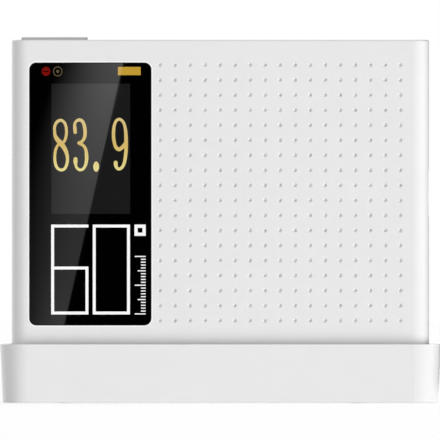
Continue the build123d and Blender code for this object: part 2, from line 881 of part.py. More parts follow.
with BuildPart() as board_components:
    with BuildSketch(upright(board_back_y)):
        with Locations(*[(window_x + driver_right, board_z + lift) for lift in driver_lifts]):
            Rectangle(*driver_size)
        with Locations((window_x + crystal_place[0], board_z + crystal_place[1])):
            Rectangle(*crystal_size)
        with Locations((window_x + capacitor_place[0], board_z + capacitor_place[1])):
            with GridLocations(capacitor_pitch, 0, capacitor_count, 1):
                Rectangle(*capacitor_size)
    extrude(amount=-component_height)
board_components.part.label = "board_components"
export_step(board_components.part, "parts/board_components.step")

with BuildPart() as buzzer:
    with Locations(Plane(origin=(0, board_back_y, 0), x_dir=(-1, 0, 0), z_dir=(0, 1, 0))):
        with Locations((-buzzer_x, board_z - buzzer_drop)):
            Cylinder(buzzer_radius, buzzer_height, align=(Align.CENTER, Align.CENTER, Align.MIN))
            with Locations((0, 0, buzzer_height)):
                Cylinder(
                    buzzer_hole_radius,
                    buzzer_hole_depth,
                    align=(Align.CENTER, Align.CENTER, Align.MAX),
                    mode=Mode.SUBTRACT,
                )
buzzer.part.label = "buzzer"
export_step(buzzer.part, "parts/buzzer.step")

# Data port: a socket on the front of the board's right edge, and the rubber plug outside it
socket_right = board_width / 2 + socket_overhang
socket_left = socket_right - socket_size[0]

with BuildPart() as data_socket:
    with BuildSketch(Plane.YZ.offset(socket_left)):
        with Locations((port_y, port_z)):
            Rectangle(socket_size[1], socket_size[2])
    extrude(amount=socket_size[0])
    with BuildSketch(Plane.YZ.offset(socket_left + socket_back)):
        with Locations((port_y, port_z)):
            Rectangle(socket_size[1] - 2 * socket_wall, socket_size[2] - 2 * socket_wall)
    extrude(amount=socket_size[0] - socket_back, mode=Mode.SUBTRACT)
    with BuildSketch(Plane.YZ.offset(socket_left + socket_back)):
        with Locations((port_y, port_z)):
            Rectangle(socket_tongue[1], socket_tongue[2])
    extrude(amount=socket_tongue[0])
data_socket.part.label = "data_socket"
export_step(data_socket.part, "parts/data_socket.step")

with BuildPart() as port_plug:
    with BuildSketch(Plane.YZ.offset(case_width / 2 - port_recess_depth)):
        with Locations((port_y, port_z)):
            RectangleRounded(
                port_recess[0] - 2 * port_gap,
                port_recess[1] - 2 * port_gap,
                port_recess_corner - port_gap,
            )
    extrude(amount=port_recess_depth - port_sunk)
    with BuildSketch(Plane.YZ.offset(case_width / 2 - port_sunk)):
        with Locations((port_y + port_recess[0] / 2 - port_grip_inset, port_z)):
            RectangleRounded(*port_grip, port_grip[0] / 2 - port_gap)
    extrude(amount=-port_grip_depth, mode=Mode.SUBTRACT)
    with BuildSketch(Plane.YZ.offset(case_width / 2 - port_recess_depth)):
        with Locations((port_y, port_z)):
            RectangleRounded(
                port_slot[0] - 2 * port_gap, port_slot[1] - 2 * port_gap, port_slot_corner - port_gap
            )
    extrude(amount=port_recess_depth - case_wall)
port_plug.part.label = "port_plug"
export_step(port_plug.part, "parts/port_plug.step")

# Measuring button, with its push switch on the board
switch_y = board_back_y + switch_size[1] / 2
switch_top = board_top - switch_drop
plunger_top = switch_top + plunger_height
flange_top = top_inner - button_flange_gap
flange_bottom = flange_top - button_flange

button_height = case_top + button_proud - flange_bottom

with BuildPart() as measure_button:
    with BuildSketch(upright(button_y)) as side_view:
        with Locations((button_x, flange_bottom + button_height / 2)):
            Rectangle(button_length, button_height)
        outer_corner = side_view.vertices().group_by(Axis.Z)[-1].sort_by(Axis.X)[0]
        fillet(outer_corner, radius=button_rounding)
    extrude(amount=button_width / 2, both=True)
    fillet(measure_button.edges().filter_by(Axis.Z), radius=button_corner)
    with BuildSketch(Plane.XY.offset(flange_bottom)):
        with Locations((button_x + button_flange / 2, button_y)):
            Rectangle(button_length + button_flange, button_width + 2 * button_flange)
    extrude(amount=button_flange)
    with BuildSketch(Plane.XY.offset(flange_bottom)):
        with Locations((button_x, switch_y)):
            Rectangle(*stem_size)
    extrude(amount=plunger_top - flange_bottom)
measure_button.part.label = "measure_button"
export_step(measure_button.part, "parts/measure_button.step")

with BuildPart() as tact_switch:
    with BuildSketch(Plane.XY.offset(switch_top)):
        with Locations((button_x, switch_y)):
            Rectangle(switch_size[0], switch_size[1])
    extrude(amount=-switch_size[2])
    with BuildSketch(Plane.XY.offset(switch_top)):
        with Locations((button_x, switch_y)):
            Rectangle(plunger_size[0] + 2 * plunger_gap, plunger_size[1] + 2 * plunger_gap)
    extrude(amount=-(plunger_depth + button_travel + plunger_room), mode=Mode.SUBTRACT)
tact_switch.part.label = "tact_switch"
export_step(tact_switch.part, "parts/tact_switch.step")

with BuildPart() as switch_plunger:
    with BuildSketch(Plane.XY.offset(switch_top - plunger_depth)):
        with Locations((button_x, switch_y)):
            Rectangle(*plunger_size)
    extrude(amount=plunger_depth + plunger_height)
switch_plunger.part.label = "switch_plunger"
export_step(switch_plunger.part, "parts/switch_plunger.step")

# Battery and its contacts
battery_left = bay_x + bay_length / 2 - contact_thickness - battery_nub_length - battery_length
leaf_x = bay_x - bay_length / 2 + contact_thickness

with BuildPart() as battery:
    with BuildSketch(Plane.YZ.offset(battery_left)):
        with Locations((battery_y, bay_z)):
            Circle(battery_radius)
    extrude(amount=battery_length)
    with BuildSketch(Plane.YZ.offset(battery_left + battery_length)):
        with Locations((battery_y, bay_z)):
            Circle(battery_nub_radius)
    extrude(amount=battery_nub_length)
battery.part.label = "battery"
export_step(battery.part, "parts/battery.step")

with BuildPart() as negative_contact:
    with BuildSketch(Plane.YZ.offset(bay_x - bay_length / 2)):
        with Locations((battery_y, bay_z)):
            Rectangle(2 * (battery_radius - battery_gap), contact_width)
    extrude(amount=contact_thickness)
    with BuildSketch(upright(board_back_y)):
        with Locations((bay_x - contact_x, bay_z)):
            Rectangle(contact_thickness, contact_leg)
    extrude(amount=board_back_y - battery_y)
    with BuildSketch(Plane.XY.offset(bay_z)):
        with BuildLine():
            crest = ThreePointArc(
                (leaf_x, battery_y - leaf_span / 2),
                (battery_left, battery_y),
                (leaf_x, battery_y + leaf_span / 2),
            )
            hollow = ThreePointArc(
                (leaf_x, battery_y - leaf_span / 2 + contact_thickness),
                (battery_left - contact_thickness, battery_y),
                (leaf_x, battery_y + leaf_span / 2 - contact_thickness),
            )
            Line(crest @ 0, hollow @ 0)
            Line(crest @ 1, hollow @ 1)
        make_face()
    extrude(amount=leaf_width / 2, both=True)
negative_contact.part.label = "negative_contact"
export_step(negative_contact.part, "parts/negative_contact.step")

with BuildPart() as positive_contact:
    with BuildSketch(Plane.YZ.offset(bay_x + bay_length / 2 - contact_thickness)):
        with Locations((battery_y, bay_z)):
            Rectangle(2 * (battery_radius - battery_gap), contact_width)
    extrude(amount=contact_thickness)
    with BuildSketch(upright(board_back_y)):
        with Locations((bay_x + contact_x, bay_z)):
            Rectangle(contact_thickness, contact_leg)
    extrude(amount=board_back_y - battery_y)
positive_contact.part.label = "positive_contact"
export_step(positive_contact.part, "parts/positive_contact.step")

with BuildPart() as battery_door:
    with BuildSketch(upright(back_y)):
        with Locations((bay_x, (hinge_z + door_high) / 2)):
            Rectangle(door_width, door_high - hinge_z)
    extrude(amount=door_thickness)
    top_corners = battery_door.edges().filter_by(Axis.Y).group_by(Axis.Z)[-1]
    fillet(top_corners, radius=door_corner)
    with Locations((bay_x, hinge_y, hinge_z)):
        Cylinder(hinge_radius, door_width, rotation=(0, 90, 0))
        Cylinder(hinge_pin_radius, door_width + 2 * hinge_pin_length, rotation=(0, 90, 0))
    with BuildSketch(upright(door_inner_y)):
        with Locations((bay_x, bay_high - tongue_gap - tongue_size[1] / 2)):
            Rectangle(tongue_size[0], tongue_size[1])
    extrude(amount=tongue_size[2])
    with BuildSketch(upright(back_y)):
        with Locations((bay_x, door_high - door_ledge - groove_pitch * groove_count / 2)):
            with GridLocations(0, groove_pitch, 1, groove_count):
                SlotOverall(groove_length, groove_width)
    extrude(amount=groove_depth, mode=Mode.SUBTRACT)
battery_door.part.label = "battery_door"
export_step(battery_door.part, "parts/battery_door.step")

# Optics: a block whose two bores meet at the measuring spot, with a lamp in one and a sensor in the other
arm_rise = 90.0 - beam_angle
spot = (0.0, 0.0, seat)
connector_y = board_back_y + connector_size[1] / 2


def arm_point(side, along, across=0.0, y=0.0):
    """Point of an arm: along its axis from the spot, and across it, upwards."""
    return (
        side * (along * sin(radians(beam_angle)) - across * cos(radians(beam_angle))),
        y,
        seat + along * cos(radians(beam_angle)) + across * sin(radians(beam_angle)),
    )


def arm_plane(side, along):
    """Plane square to an arm's axis, facing away from the spot, with local x along +Y."""
    direction = (side * sin(radians(beam_angle)), 0, cos(radians(beam_angle)))
    return Plane(origin=arm_point(side, along), x_dir=(0, 1, 0), z_dir=direction)


def arm_section(side):
    """Plane through an arm's axis, with local x along the arm from the spot."""
    direction = (side * sin(radians(beam_angle)), 0, cos(radians(beam_angle)))
    return Plane(origin=spot, x_dir=direction, z_dir=(0, -1, 0))


def arm_lens(side):
    """Flanged plano-convex lens, its flat face on the shoulder of the bore."""
    rim = lens_seat + lens_edge
    sphere = (lens_dome_radius**2 + lens_dome**2) / (2 * lens_dome)
    half = lens_dome_radius / 2
    half_along = rim + lens_dome - sphere + (sphere**2 - half**2) ** 0.5
    with BuildPart() as lens:
        with BuildSketch(arm_section(side)) as profile:
            with BuildLine():
                Polyline(
                    (rim + lens_dome, 0),
                    (lens_seat, 0),
                    (lens_seat, lens_radius),
                    (rim, lens_radius),
                    (rim, lens_dome_radius),
                )
                ThreePointArc((rim, lens_dome_radius), (half_along, half), (rim + lens_dome, 0))
            make_face()
        revolve(axis=Axis(spot, arm_plane(side, 0).z_dir))
    return lens.part


def arm_ring(side, start, length, outer, inner):
    """Ring in an arm's bore, from start and length along the arm."""
    with BuildPart() as ring:
        with BuildSketch(arm_plane(side, start)):
            Circle(outer)
            Circle(inner, mode=Mode.SUBTRACT)
        extrude(amount=length)
    return ring.part


def arm_board(side):
    """Small board screwed to the end of an arm."""
    with BuildPart() as board:
        with BuildSketch(arm_plane(side, arm_reach)):
            Rectangle(*sensor_board_size)
            with GridLocations(sensor_screw_span, 0, 2, 1):
                Circle(sensor_screw_radius + 2 * screw_gap, mode=Mode.SUBTRACT)
        extrude(amount=sensor_board_thickness)
    return board.part


def arm_lead(side):
    """Lead from the small board of an arm up to its connector on the main board."""
    start = arm_point(side, arm_reach + sensor_board_thickness, lead_offset, connector_y)
    bend = arm_point(side, arm_reach + sensor_board_thickness + lead_start, lead_offset, connector_y)
    end = (bend[0], connector_y, board_low + connector_lift)
    bend_radius = lead_bend_share * lead_start / tan(radians(beam_angle) / 2)
    with BuildPart() as lead:
        with BuildLine() as route:
            FilletPolyline(start, bend, end, radius=bend_radius)
        with BuildSketch(Plane(origin=start, z_dir=route.line % 0)):
            Circle(lead_radius)
        sweep()
    return lead.part


with BuildPart() as optics_block:
    with BuildSketch(Plane.XZ):
        for side in (-1, 1):
            middle = arm_point(side, arm_reach / 2)
            with Locations((middle[0], middle[2])):
                Rectangle(arm_reach, arm_height, rotation=side * arm_rise)
        with Locations((0, plate_top + bridge_top / 2)):
            Rectangle(bridge_width, bridge_top)
        with Locations((0, plate_top - arm_reach / 2)):
            Rectangle(2 * arm_reach, arm_reach, mode=Mode.SUBTRACT)
    extrude(amount=block_depth / 2, both=True)
    for side in (-1, 1):
        with BuildSketch(arm_plane(side, -beam_radius)):
            Circle(beam_radius)
        extrude(amount=lens_seat + beam_radius, mode=Mode.SUBTRACT)
        with BuildSketch(arm_plane(side, lens_seat)):
            Circle(lens_radius + bore_gap)
        extrude(amount=arm_reach - lens_seat, mode=Mode.SUBTRACT)
        with BuildSketch(arm_plane(side, arm_reach)):
            with GridLocations(sensor_screw_span, 0, 2, 1):
                Circle(sensor_screw_radius + screw_gap)
        extrude(amount=-sensor_screw_length, mode=Mode.SUBTRACT)
    with BuildSketch(Plane.XY.offset(plate_top)):
        with GridLocations(*optics_screw_span, 2, 2):
            Circle(small_hole)
    extrude(amount=optics_screw_length, mode=Mode.SUBTRACT)
optics_block.part.label = "optics_block"
export_step(optics_block.part, "parts/optics_block.step")

tube_inner = lens_radius - tube_wall
collar_inner = lens_radius - collar_wall
collar_seat = slit_seat + slit_thickness
filter_end = collar_seat + filter_thickness
arm_pieces = {}
for name, side in (("source", -1), ("receiver", 1)):
    arm_pieces[name + "_lens"] = arm_lens(side)
    arm_pieces[name + "_tube"] = arm_ring(
        side, lens_seat + lens_edge, slit_seat - lens_seat - lens_edge, lens_radius, tube_inner
    )
    with BuildPart() as slit:
        with BuildSketch(arm_plane(side, slit_seat)):
            Circle(lens_radius)
            Rectangle(*slit_size, mode=Mode.SUBTRACT)
        extrude(amount=slit_thickness)
    arm_pieces[name + "_slit"] = slit.part
    arm_pieces[name + "_board"] = arm_board(side)
    arm_pieces[name + "_lead"] = arm_lead(side)
arm_pieces["source_collar"] = arm_ring(
    -1, collar_seat, arm_reach - collar_seat, lens_radius, collar_inner
)
arm_pieces["receiver_collar"] = arm_ring(
    1, filter_end, arm_reach - filter_end, lens_radius, collar_inner
)

with BuildPart() as photopic_filter:
    with BuildSketch(arm_plane(1, collar_seat)):
        Circle(lens_radius)
    extrude(amount=filter_thickness)
photopic_filter.part.label = "photopic_filter"
export_step(photopic_filter.part, "parts/photopic_filter.step")

with BuildPart() as source_lamp:
    with BuildSketch(arm_plane(-1, arm_reach)):
        Circle(lamp_radius + lamp_flange)
    extrude(amount=-lamp_flange_thickness)
    lamp_shoulder = arm_reach - lamp_length
    lamp_tip = lamp_shoulder - lamp_radius
    slant = lamp_radius * cos(radians(45))
    with BuildSketch(arm_section(-1)):
        with BuildLine():
            Polyline(
                (lamp_tip, 0), (arm_reach, 0), (arm_reach, lamp_radius), (lamp_shoulder, lamp_radius)
            )
            ThreePointArc(
                (lamp_shoulder, lamp_radius), (lamp_shoulder - slant, slant), (lamp_tip, 0)
            )
        make_face()
    revolve(axis=Axis(spot, arm_plane(-1, 0).z_dir))
source_lamp.part.label = "source_lamp"
export_step(source_lamp.part, "parts/source_lamp.step")

with BuildPart() as photodiode:
    with BuildSketch(arm_plane(1, arm_reach)):
        Circle(diode_radius)
    extrude(amount=-diode_length)
    with BuildSketch(arm_plane(1, arm_reach - diode_length)):
        Circle(diode_window)
    extrude(amount=diode_window_depth, mode=Mode.SUBTRACT)
photodiode.part.label = "photodiode"
export_step(photodiode.part, "parts/photodiode.step")

with BuildPart() as sensor_screws:
    for side in (-1, 1):
        with Locations(arm_plane(side, arm_reach + sensor_board_thickness)):
            with GridLocations(sensor_screw_span, 0, 2, 1):
                add(
                    pan_screw(
                        sensor_screw_radius,
                        sensor_screw_head,
                        sensor_screw_head_height,
                        sensor_screw_length,
                    )
                )
sensor_screws.part.label = "sensor_screws"
export_step(sensor_screws.part, "parts/sensor_screws.step")

with BuildPart() as lead_connectors:
    for side in (-1, 1):
        bend = arm_point(side, arm_reach + sensor_board_thickness + lead_start, lead_offset)
        with BuildSketch(Plane.XY.offset(board_low + connector_lift)):
            with Locations((bend[0], connector_y)):
                Rectangle(connector_size[0], connector_size[1])
        extrude(amount=connector_size[2])
lead_connectors.part.label = "lead_connectors"
export_step(lead_connectors.part, "parts/lead_connectors.step")

for label, piece in arm_pieces.items():
    piece.label = label
    export_step(piece, f"parts/{label}.step")
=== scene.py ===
import math

import bpy
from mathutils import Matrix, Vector
from mathutils.geometry import delaunay_2d_cdt


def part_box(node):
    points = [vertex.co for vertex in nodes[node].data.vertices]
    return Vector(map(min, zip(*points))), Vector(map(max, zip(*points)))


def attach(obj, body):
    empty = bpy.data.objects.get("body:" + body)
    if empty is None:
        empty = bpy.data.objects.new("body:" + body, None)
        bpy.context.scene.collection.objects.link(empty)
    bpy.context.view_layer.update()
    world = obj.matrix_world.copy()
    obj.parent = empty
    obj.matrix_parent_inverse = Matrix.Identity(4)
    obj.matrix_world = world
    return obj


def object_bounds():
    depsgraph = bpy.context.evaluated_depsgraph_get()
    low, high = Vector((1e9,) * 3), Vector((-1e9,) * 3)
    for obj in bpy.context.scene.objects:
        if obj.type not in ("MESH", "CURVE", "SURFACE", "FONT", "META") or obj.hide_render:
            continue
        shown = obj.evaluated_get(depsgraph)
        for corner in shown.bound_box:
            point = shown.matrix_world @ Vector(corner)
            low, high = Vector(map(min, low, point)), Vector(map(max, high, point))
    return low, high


MM = 0.001

# Sockets of a Mix node that mixes colours
MIX_FIRST, MIX_SECOND, MIX_RESULT = 6, 7, 2

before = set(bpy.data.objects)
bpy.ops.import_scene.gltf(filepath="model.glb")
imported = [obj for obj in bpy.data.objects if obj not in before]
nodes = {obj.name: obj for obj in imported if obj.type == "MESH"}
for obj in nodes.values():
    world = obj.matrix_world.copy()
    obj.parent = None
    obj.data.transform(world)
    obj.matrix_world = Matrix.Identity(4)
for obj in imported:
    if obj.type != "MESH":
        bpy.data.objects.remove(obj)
cad_box = [list(corner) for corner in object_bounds()]


# Materials


def tone(red, green, blue, alpha=1.0):
    """The linear colour of three display values between 0 and 255, and alpha."""
    def linear(value):
        share = value / 255
        return share / 12.92 if share <= 0.04045 else ((share + 0.055) / 1.055) ** 2.4

    return (linear(red), linear(green), linear(blue), alpha)


def scaled(colour, factor):
    """A linear colour made lighter or darker."""
    return tuple(min(1.0, part * factor) for part in colour[:3]) + (1.0,)


class Surface:
    """A Principled material whose colour, roughness and grain come from noise in the object's space."""

    def __init__(self, name, colour, roughness, settings=None):
        self.material = bpy.data.materials.new(name)
        self.material.use_nodes = True
        self.tree = self.material.node_tree
        self.shader = self.tree.nodes["Principled BSDF"]
        self.place = self.add("ShaderNodeTexCoord").outputs["Object"]
        self.colour = colour
        self.roughness = roughness
        self.shader.inputs["Base Color"].default_value = colour
        self.shader.inputs["Roughness"].default_value = roughness
        for socket, value in (settings or {}).items():
            self.shader.inputs[socket].default_value = value

    def add(self, kind, **settings):
        node = self.tree.nodes.new(kind)
        for key, value in settings.items():
            setattr(node, key, value)
        return node

    def link(self, source, target):
        self.tree.links.new(source, target)

    def noise(self, size, detail=2.0):
        """Noise whose features are about size across."""
        texture = self.add("ShaderNodeTexNoise")
        texture.inputs["Scale"].default_value = 1 / size
        texture.inputs["Detail"].default_value = detail
        self.link(self.place, texture.inputs["Vector"])
        return texture.outputs["Fac"]

    def between(self, value, low, high, start=0.3, end=0.7):
        """value, stretched from start..end to low..high."""
        ranged = self.add("ShaderNodeMapRange")
        for socket, number in zip(("From Min", "From Max", "To Min", "To Max"), (start, end, low, high)):
            ranged.inputs[socket].default_value = number
        self.link(value, ranged.inputs["Value"])
        return ranged.outputs["Result"]

    def blend(self, share, first, second):
        """A colour that goes from first to second with share; either is a colour or an output."""
        mix = self.add("ShaderNodeMix", data_type="RGBA")
        self.link(share, mix.inputs["Factor"])
        for socket, part in ((mix.inputs[MIX_FIRST], first), (mix.inputs[MIX_SECOND], second)):
            if isinstance(part, tuple):
                socket.default_value = part
            else:
                self.link(part, socket)
        return mix.outputs[MIX_RESULT]

    def mottle(self, size, amount):
        """Uneven colour: amount is the share by which the darkest places are darker."""
        share = self.between(self.noise(size, detail=3.0), 0.0, 1.0)
        mixed = self.blend(share, self.colour, scaled(self.colour, 1 - amount))
        self.link(mixed, self.shader.inputs["Base Color"])
        return mixed

    def uneven_gloss(self, size, spread):
        """Roughness that lies up to spread below and above its middle value."""
        low, high = self.roughness - spread, self.roughness + spread
        self.link(self.between(self.noise(size), max(0.0, low), high), self.shader.inputs["Roughness"])

    def grain(self, size, depth):
        """Fine relief, depth deep."""
        bump = self.add("ShaderNodeBump")
        bump.inputs["Distance"].default_value = depth
        self.link(self.noise(size), bump.inputs["Height"])
        self.link(bump.outputs["Normal"], self.shader.inputs["Normal"])


def moulded(name, colour, roughness=0.45, grain=0.35 * MM, depth=0.006 * MM, mottle=0.02, settings=None):
    """Moulded plastic or rubber with a spark-eroded texture."""
    made = Surface(name, colour, roughness, settings)
    made.mottle(9 * MM, mottle)
    made.uneven_gloss(4 * MM, 0.04)
    made.grain(grain, depth)
    return made


def metal(name, colour, roughness=0.32):
    """Plated or turned metal with a fine uneven grain."""
    made = Surface(name, colour, roughness, {"Metallic": 1.0})
    made.mottle(2 * MM, 0.1)
    made.uneven_gloss(0.8 * MM, 0.08)
    made.grain(0.12 * MM, 0.003 * MM)
    return made


def polished(name, colour, roughness=0.01, spread=0.003, settings=None):
    """Polished sheet or glass: a flat mirror face with the faintest haze."""
    made = Surface(name, colour, roughness, settings)
    made.mottle(12 * MM, 0.05)
    made.uneven_gloss(15 * MM, spread)
    return made


def circuit_board():
    """Green solder mask over copper tracks."""
    made = Surface("board_green", tone(24, 92, 52), 0.38)
    mask = made.mottle(5 * MM, 0.15)
    tracks = made.add("ShaderNodeTexBrick")
    spacing = {"Scale": 1.0, "Mortar Size": 0.16 * MM, "Brick Width": 5.2 * MM, "Row Height": 1.3 * MM}
    for socket, value in spacing.items():
        tracks.inputs[socket].default_value = value
    upright = made.add("ShaderNodeMapping")
    upright.inputs["Rotation"].default_value = (math.pi / 2, 0, 0)
    made.link(made.place, upright.inputs["Vector"])
    made.link(upright.outputs["Vector"], tracks.inputs["Vector"])
    made.link(made.blend(tracks.outputs["Fac"], mask, tone(70, 140, 70)), made.shader.inputs["Base Color"])
    made.uneven_gloss(3 * MM, 0.05)
    return made


def ribbon_cable():
    """Amber film with copper tracks along it."""
    made = Surface("flex_amber", tone(186, 110, 36), 0.3)
    film = made.mottle(3 * MM, 0.1)
    tracks = made.add("ShaderNodeTexWave", wave_type="BANDS", bands_direction="X")
    tracks.inputs["Scale"].default_value = 0.3 / MM
    made.link(made.place, tracks.inputs["Vector"])
    share = made.between(tracks.outputs["Fac"], 0.0, 0.7, 0.55, 0.75)
    made.link(made.blend(share, film, tone(214, 150, 80)), made.shader.inputs["Base Color"])
    made.uneven_gloss(2 * MM, 0.05)
    return made


def cell_wrap(copper_from):
    """A shrink-wrapped cell: dark, with a copper band at its positive end."""
    made = Surface("battery_wrap", tone(34, 36, 40), 0.24, {"Coat Weight": 0.4})
    dark = made.mottle(6 * MM, 0.1)
    parts = made.add("ShaderNodeSeparateXYZ")
    made.link(made.place, parts.inputs["Vector"])
    share = made.between(parts.outputs["X"], 0.0, 1.0, copper_from, copper_from + 0.1 * MM)
    made.link(made.blend(share, dark, tone(190, 120, 62)), made.shader.inputs["Base Color"])
    made.uneven_gloss(5 * MM, 0.03)
    return made


# A smooth skin over matt plastic, clear acrylic and the gloss of a printed window
SATIN = {"Coat Weight": 1.0, "Coat Roughness": 0.15, "Coat IOR": 1.6}
CLEAR = {"Transmission Weight": 1.0, "IOR": 1.49}
GLOSS = {"IOR": 1.49}

case_white = moulded("case_white", tone(230, 230, 230), 0.5, settings=SATIN)
holder_white = moulded("holder_white", tone(229, 229, 229), 0.5, settings=SATIN)
button_grey = moulded("button_grey", tone(198, 198, 198), 0.4, grain=0.25 * MM)
plate_black = moulded("plate_black", tone(26, 26, 27), 0.42, grain=0.4 * MM, depth=0.01 * MM, mottle=0.1)
optic_black = moulded("optic_black", tone(18, 18, 19), 0.6, grain=0.5 * MM, depth=0.02 * MM, mottle=0.1)
plastic_black = moulded("plastic_black", tone(30, 30, 32), 0.4, mottle=0.1)
chip_black = moulded("chip_black", tone(28, 28, 30), 0.55, grain=0.2 * MM, depth=0.008 * MM, mottle=0.12)
foam_black = moulded("foam_black", tone(36, 36, 38), 0.9, grain=0.5 * MM, depth=0.08 * MM, mottle=0.2)
rubber_grey = moulded("rubber_grey", tone(226, 227, 227), 0.6, grain=0.5 * MM, depth=0.02 * MM, mottle=0.04)
led_white = moulded("led_white", tone(226, 224, 214), 0.3, mottle=0.04)
lead_grey = moulded("lead_grey", tone(120, 121, 124), 0.4, grain=0.3 * MM, depth=0.01 * MM, mottle=0.08)
steel = metal("steel", tone(190, 190, 188))
magnet_nickel = metal("magnet_nickel", tone(206, 205, 200), roughness=0.16)
lens_glass = polished("lens_glass", tone(250, 250, 250), 0.01, spread=0.004, settings=CLEAR)
guide_clear = polished("guide_clear", tone(244, 246, 248), 0.04, spread=0.01, settings=CLEAR)
filter_green = polished("filter_green", tone(150, 205, 120), 0.02, spread=0.005, settings=CLEAR)
tile_black = polished("tile_black", tone(9, 9, 11), 0.008, spread=0.002, settings={"IOR": 1.567})
window_black = polished("window_black", tone(1, 1, 1), settings=GLOSS)
screen_glass = polished("screen_glass", tone(27, 27, 28), settings={"IOR": 1.6})
board_green = circuit_board()
flex_amber = ribbon_cable()
COPPER_BAND = 12 * MM
battery_wrap = cell_wrap(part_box("battery")[1].x - COPPER_BAND)

FINISHES = {
    case_white: ("front_shell", "rear_shell", "battery_door"),
    holder_white: ("holder_shell", "holder_base_cover"),
    button_grey: ("measure_button",),
    plate_black: ("bottom_plate",),
    optic_black: ("optics_block", "source_tube", "receiver_tube", "source_collar", "receiver_collar"),
    plastic_black: ("display_frame", "switch_plunger"),
    chip_black: ("processor", "board_components", "buzzer", "tact_switch"),
    foam_black: ("display_gasket", "tile_pad"),
    rubber_grey: ("holder_feet", "port_plug"),
    led_white: ("status_leds", "source_lamp", "lead_connectors"),
    lead_grey: ("source_lead", "receiver_lead"),
    steel: (
        "holder_screws", "case_screws", "plate_screws", "optics_screws", "board_screws", "sensor_screws",
        "keeper_discs", "negative_contact", "positive_contact", "source_slit", "receiver_slit",
        "photodiode", "data_socket",
    ),
    magnet_nickel: ("holder_magnets",),
    lens_glass: ("source_lens", "receiver_lens"),
    guide_clear: ("light_guides",),
    filter_green: ("photopic_filter",),
    tile_black: ("calibration_tile",),
    window_black: ("display_window",),
    screen_glass: ("display_panel",),
    board_green: ("main_board", "source_board", "receiver_board"),
    flex_amber: ("display_flex",),
    battery_wrap: ("battery",),
}
for surface, names in FINISHES.items():
    for name in names:
        nodes[name].material_slots[0].material = surface.material


# Flat print on the window


def spline(points, steps=8, closed=False):
    """Points along a smooth curve through the given ones."""
    count = len(points)
    curve = []
    for index in range(count if closed else count - 1):
        near = []
        for offset in (-1, 0, 1, 2):
            place = index + offset
            place = place % count if closed else min(max(place, 0), count - 1)
            near.append(Vector(points[place]))
        before, start, end, after = near
        for step in range(steps):
            t = step / steps
            curve.append(
                0.5 * (2 * start + (end - before) * t + (2 * before - 5 * start + 4 * end - after) * t * t
                       + (3 * start - before - 3 * end + after) * t ** 3)
            )
    if not closed:
        curve.append(Vector(points[-1]))
    return curve


def ellipse(centre, half_width, half_height, count=40):
    """A closed outline."""
    angles = [2 * math.pi * step / count for step in range(count)]
    return [(centre[0] + half_width * math.cos(a), centre[1] + half_height * math.sin(a)) for a in angles]


def bar(left, right, bottom, top):
    """The outline of a rectangle."""
    return [(left, bottom), (right, bottom), (right, top), (left, top)]


def rounded_bar(left, right, bottom, top, radius, steps=8):
    """The outline of a rectangle with rounded corners."""
    corners = (
        (right - radius, top - radius), (left + radius, top - radius),
        (left + radius, bottom + radius), (right - radius, bottom + radius),
    )
    angles = [math.pi / 2 * step / steps for step in range(steps + 1)]
    return [
        (x + radius * math.cos(turn * math.pi / 2 + a), z + radius * math.sin(turn * math.pi / 2 + a))
        for turn, (x, z) in enumerate(corners) for a in angles
    ]


def stroke(points, width=None, closed=False, round_ends=False):
    """Outlines that together make a line, mitred at its corners.

    Without a width, each point's third number is the width there."""
    path = [Vector(point[:2]) for point in points]
    half = [(width or point[2]) / 2 for point in points]
    count = len(path)
    sides = []
    for index, point in enumerate(path):
        back = path[index - 1] if closed or index else None
        ahead = path[(index + 1) % count] if closed or index < count - 1 else None
        runs = [run.normalized() for run in (back and point - back, ahead and ahead - point) if run]
        across = sum((Vector((-run.y, run.x)) for run in runs), Vector((0, 0))).normalized()
        reach = half[index] / across.dot(Vector((-runs[0].y, runs[0].x)))
        sides.append((point + across * reach, point - across * reach))
    quads = [
        [sides[index][0], sides[index][1], sides[(index + 1) % count][1], sides[(index + 1) % count][0]]
        for index in range(count if closed else count - 1)
    ]
    if round_ends:
        quads += [ellipse(path[end], half[end], half[end], count=24) for end in (0, -1)]
    return quads


# The triangulation keeps what lies inside the outlines and welds points nearer than this, in millimetres.
INSIDE_ONLY = 1
WELD = 1e-5


def flat_piece(name, outlines, surface, base, thickness, body="meter"):
    """The union of outlines, as a thin solid on the front whose back is at y = base.

    Outlines are lists of points in millimetres, right of and above the window's lower left corner."""
    points = []
    faces = []
    for outline in outlines:
        faces.append(list(range(len(points), len(points) + len(outline))))
        points += [Vector(point[:2]) for point in outline]
    flat, _, found, _, _, sources = delaunay_2d_cdt(points, [], faces, INSIDE_ONLY, WELD)
    triangles = [triangle for triangle, source in zip(found, sources) if source]
    count = len(flat)
    left, low = window_low.x, window_low.z
    vertices = [(left + p.x * MM, base - thickness, low + p.y * MM) for p in flat]
    vertices += [(left + p.x * MM, base, low + p.y * MM) for p in flat]
    edges = set()
    for triangle in triangles:
        edges.update(zip(triangle, triangle[1:] + triangle[:1]))
    polygons = [tuple(triangle) for triangle in triangles]
    polygons += [tuple(corner + count for corner in reversed(triangle)) for triangle in triangles]
    polygons += [(b, a, a + count, b + count) for a, b in edges if (b, a) not in edges]
    mesh = bpy.data.meshes.new(name)
    mesh.from_pydata(vertices, [], polygons)
    mesh.materials.append(surface.material)
    mesh.validate()
    piece = bpy.data.objects.new(name, mesh)
    bpy.context.scene.collection.objects.link(piece)
    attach(piece, body)


def moved(points, right, up):
    """Points shifted by these distances."""
    return [(point[0] + right, point[1] + up) + point[2:] for point in points]


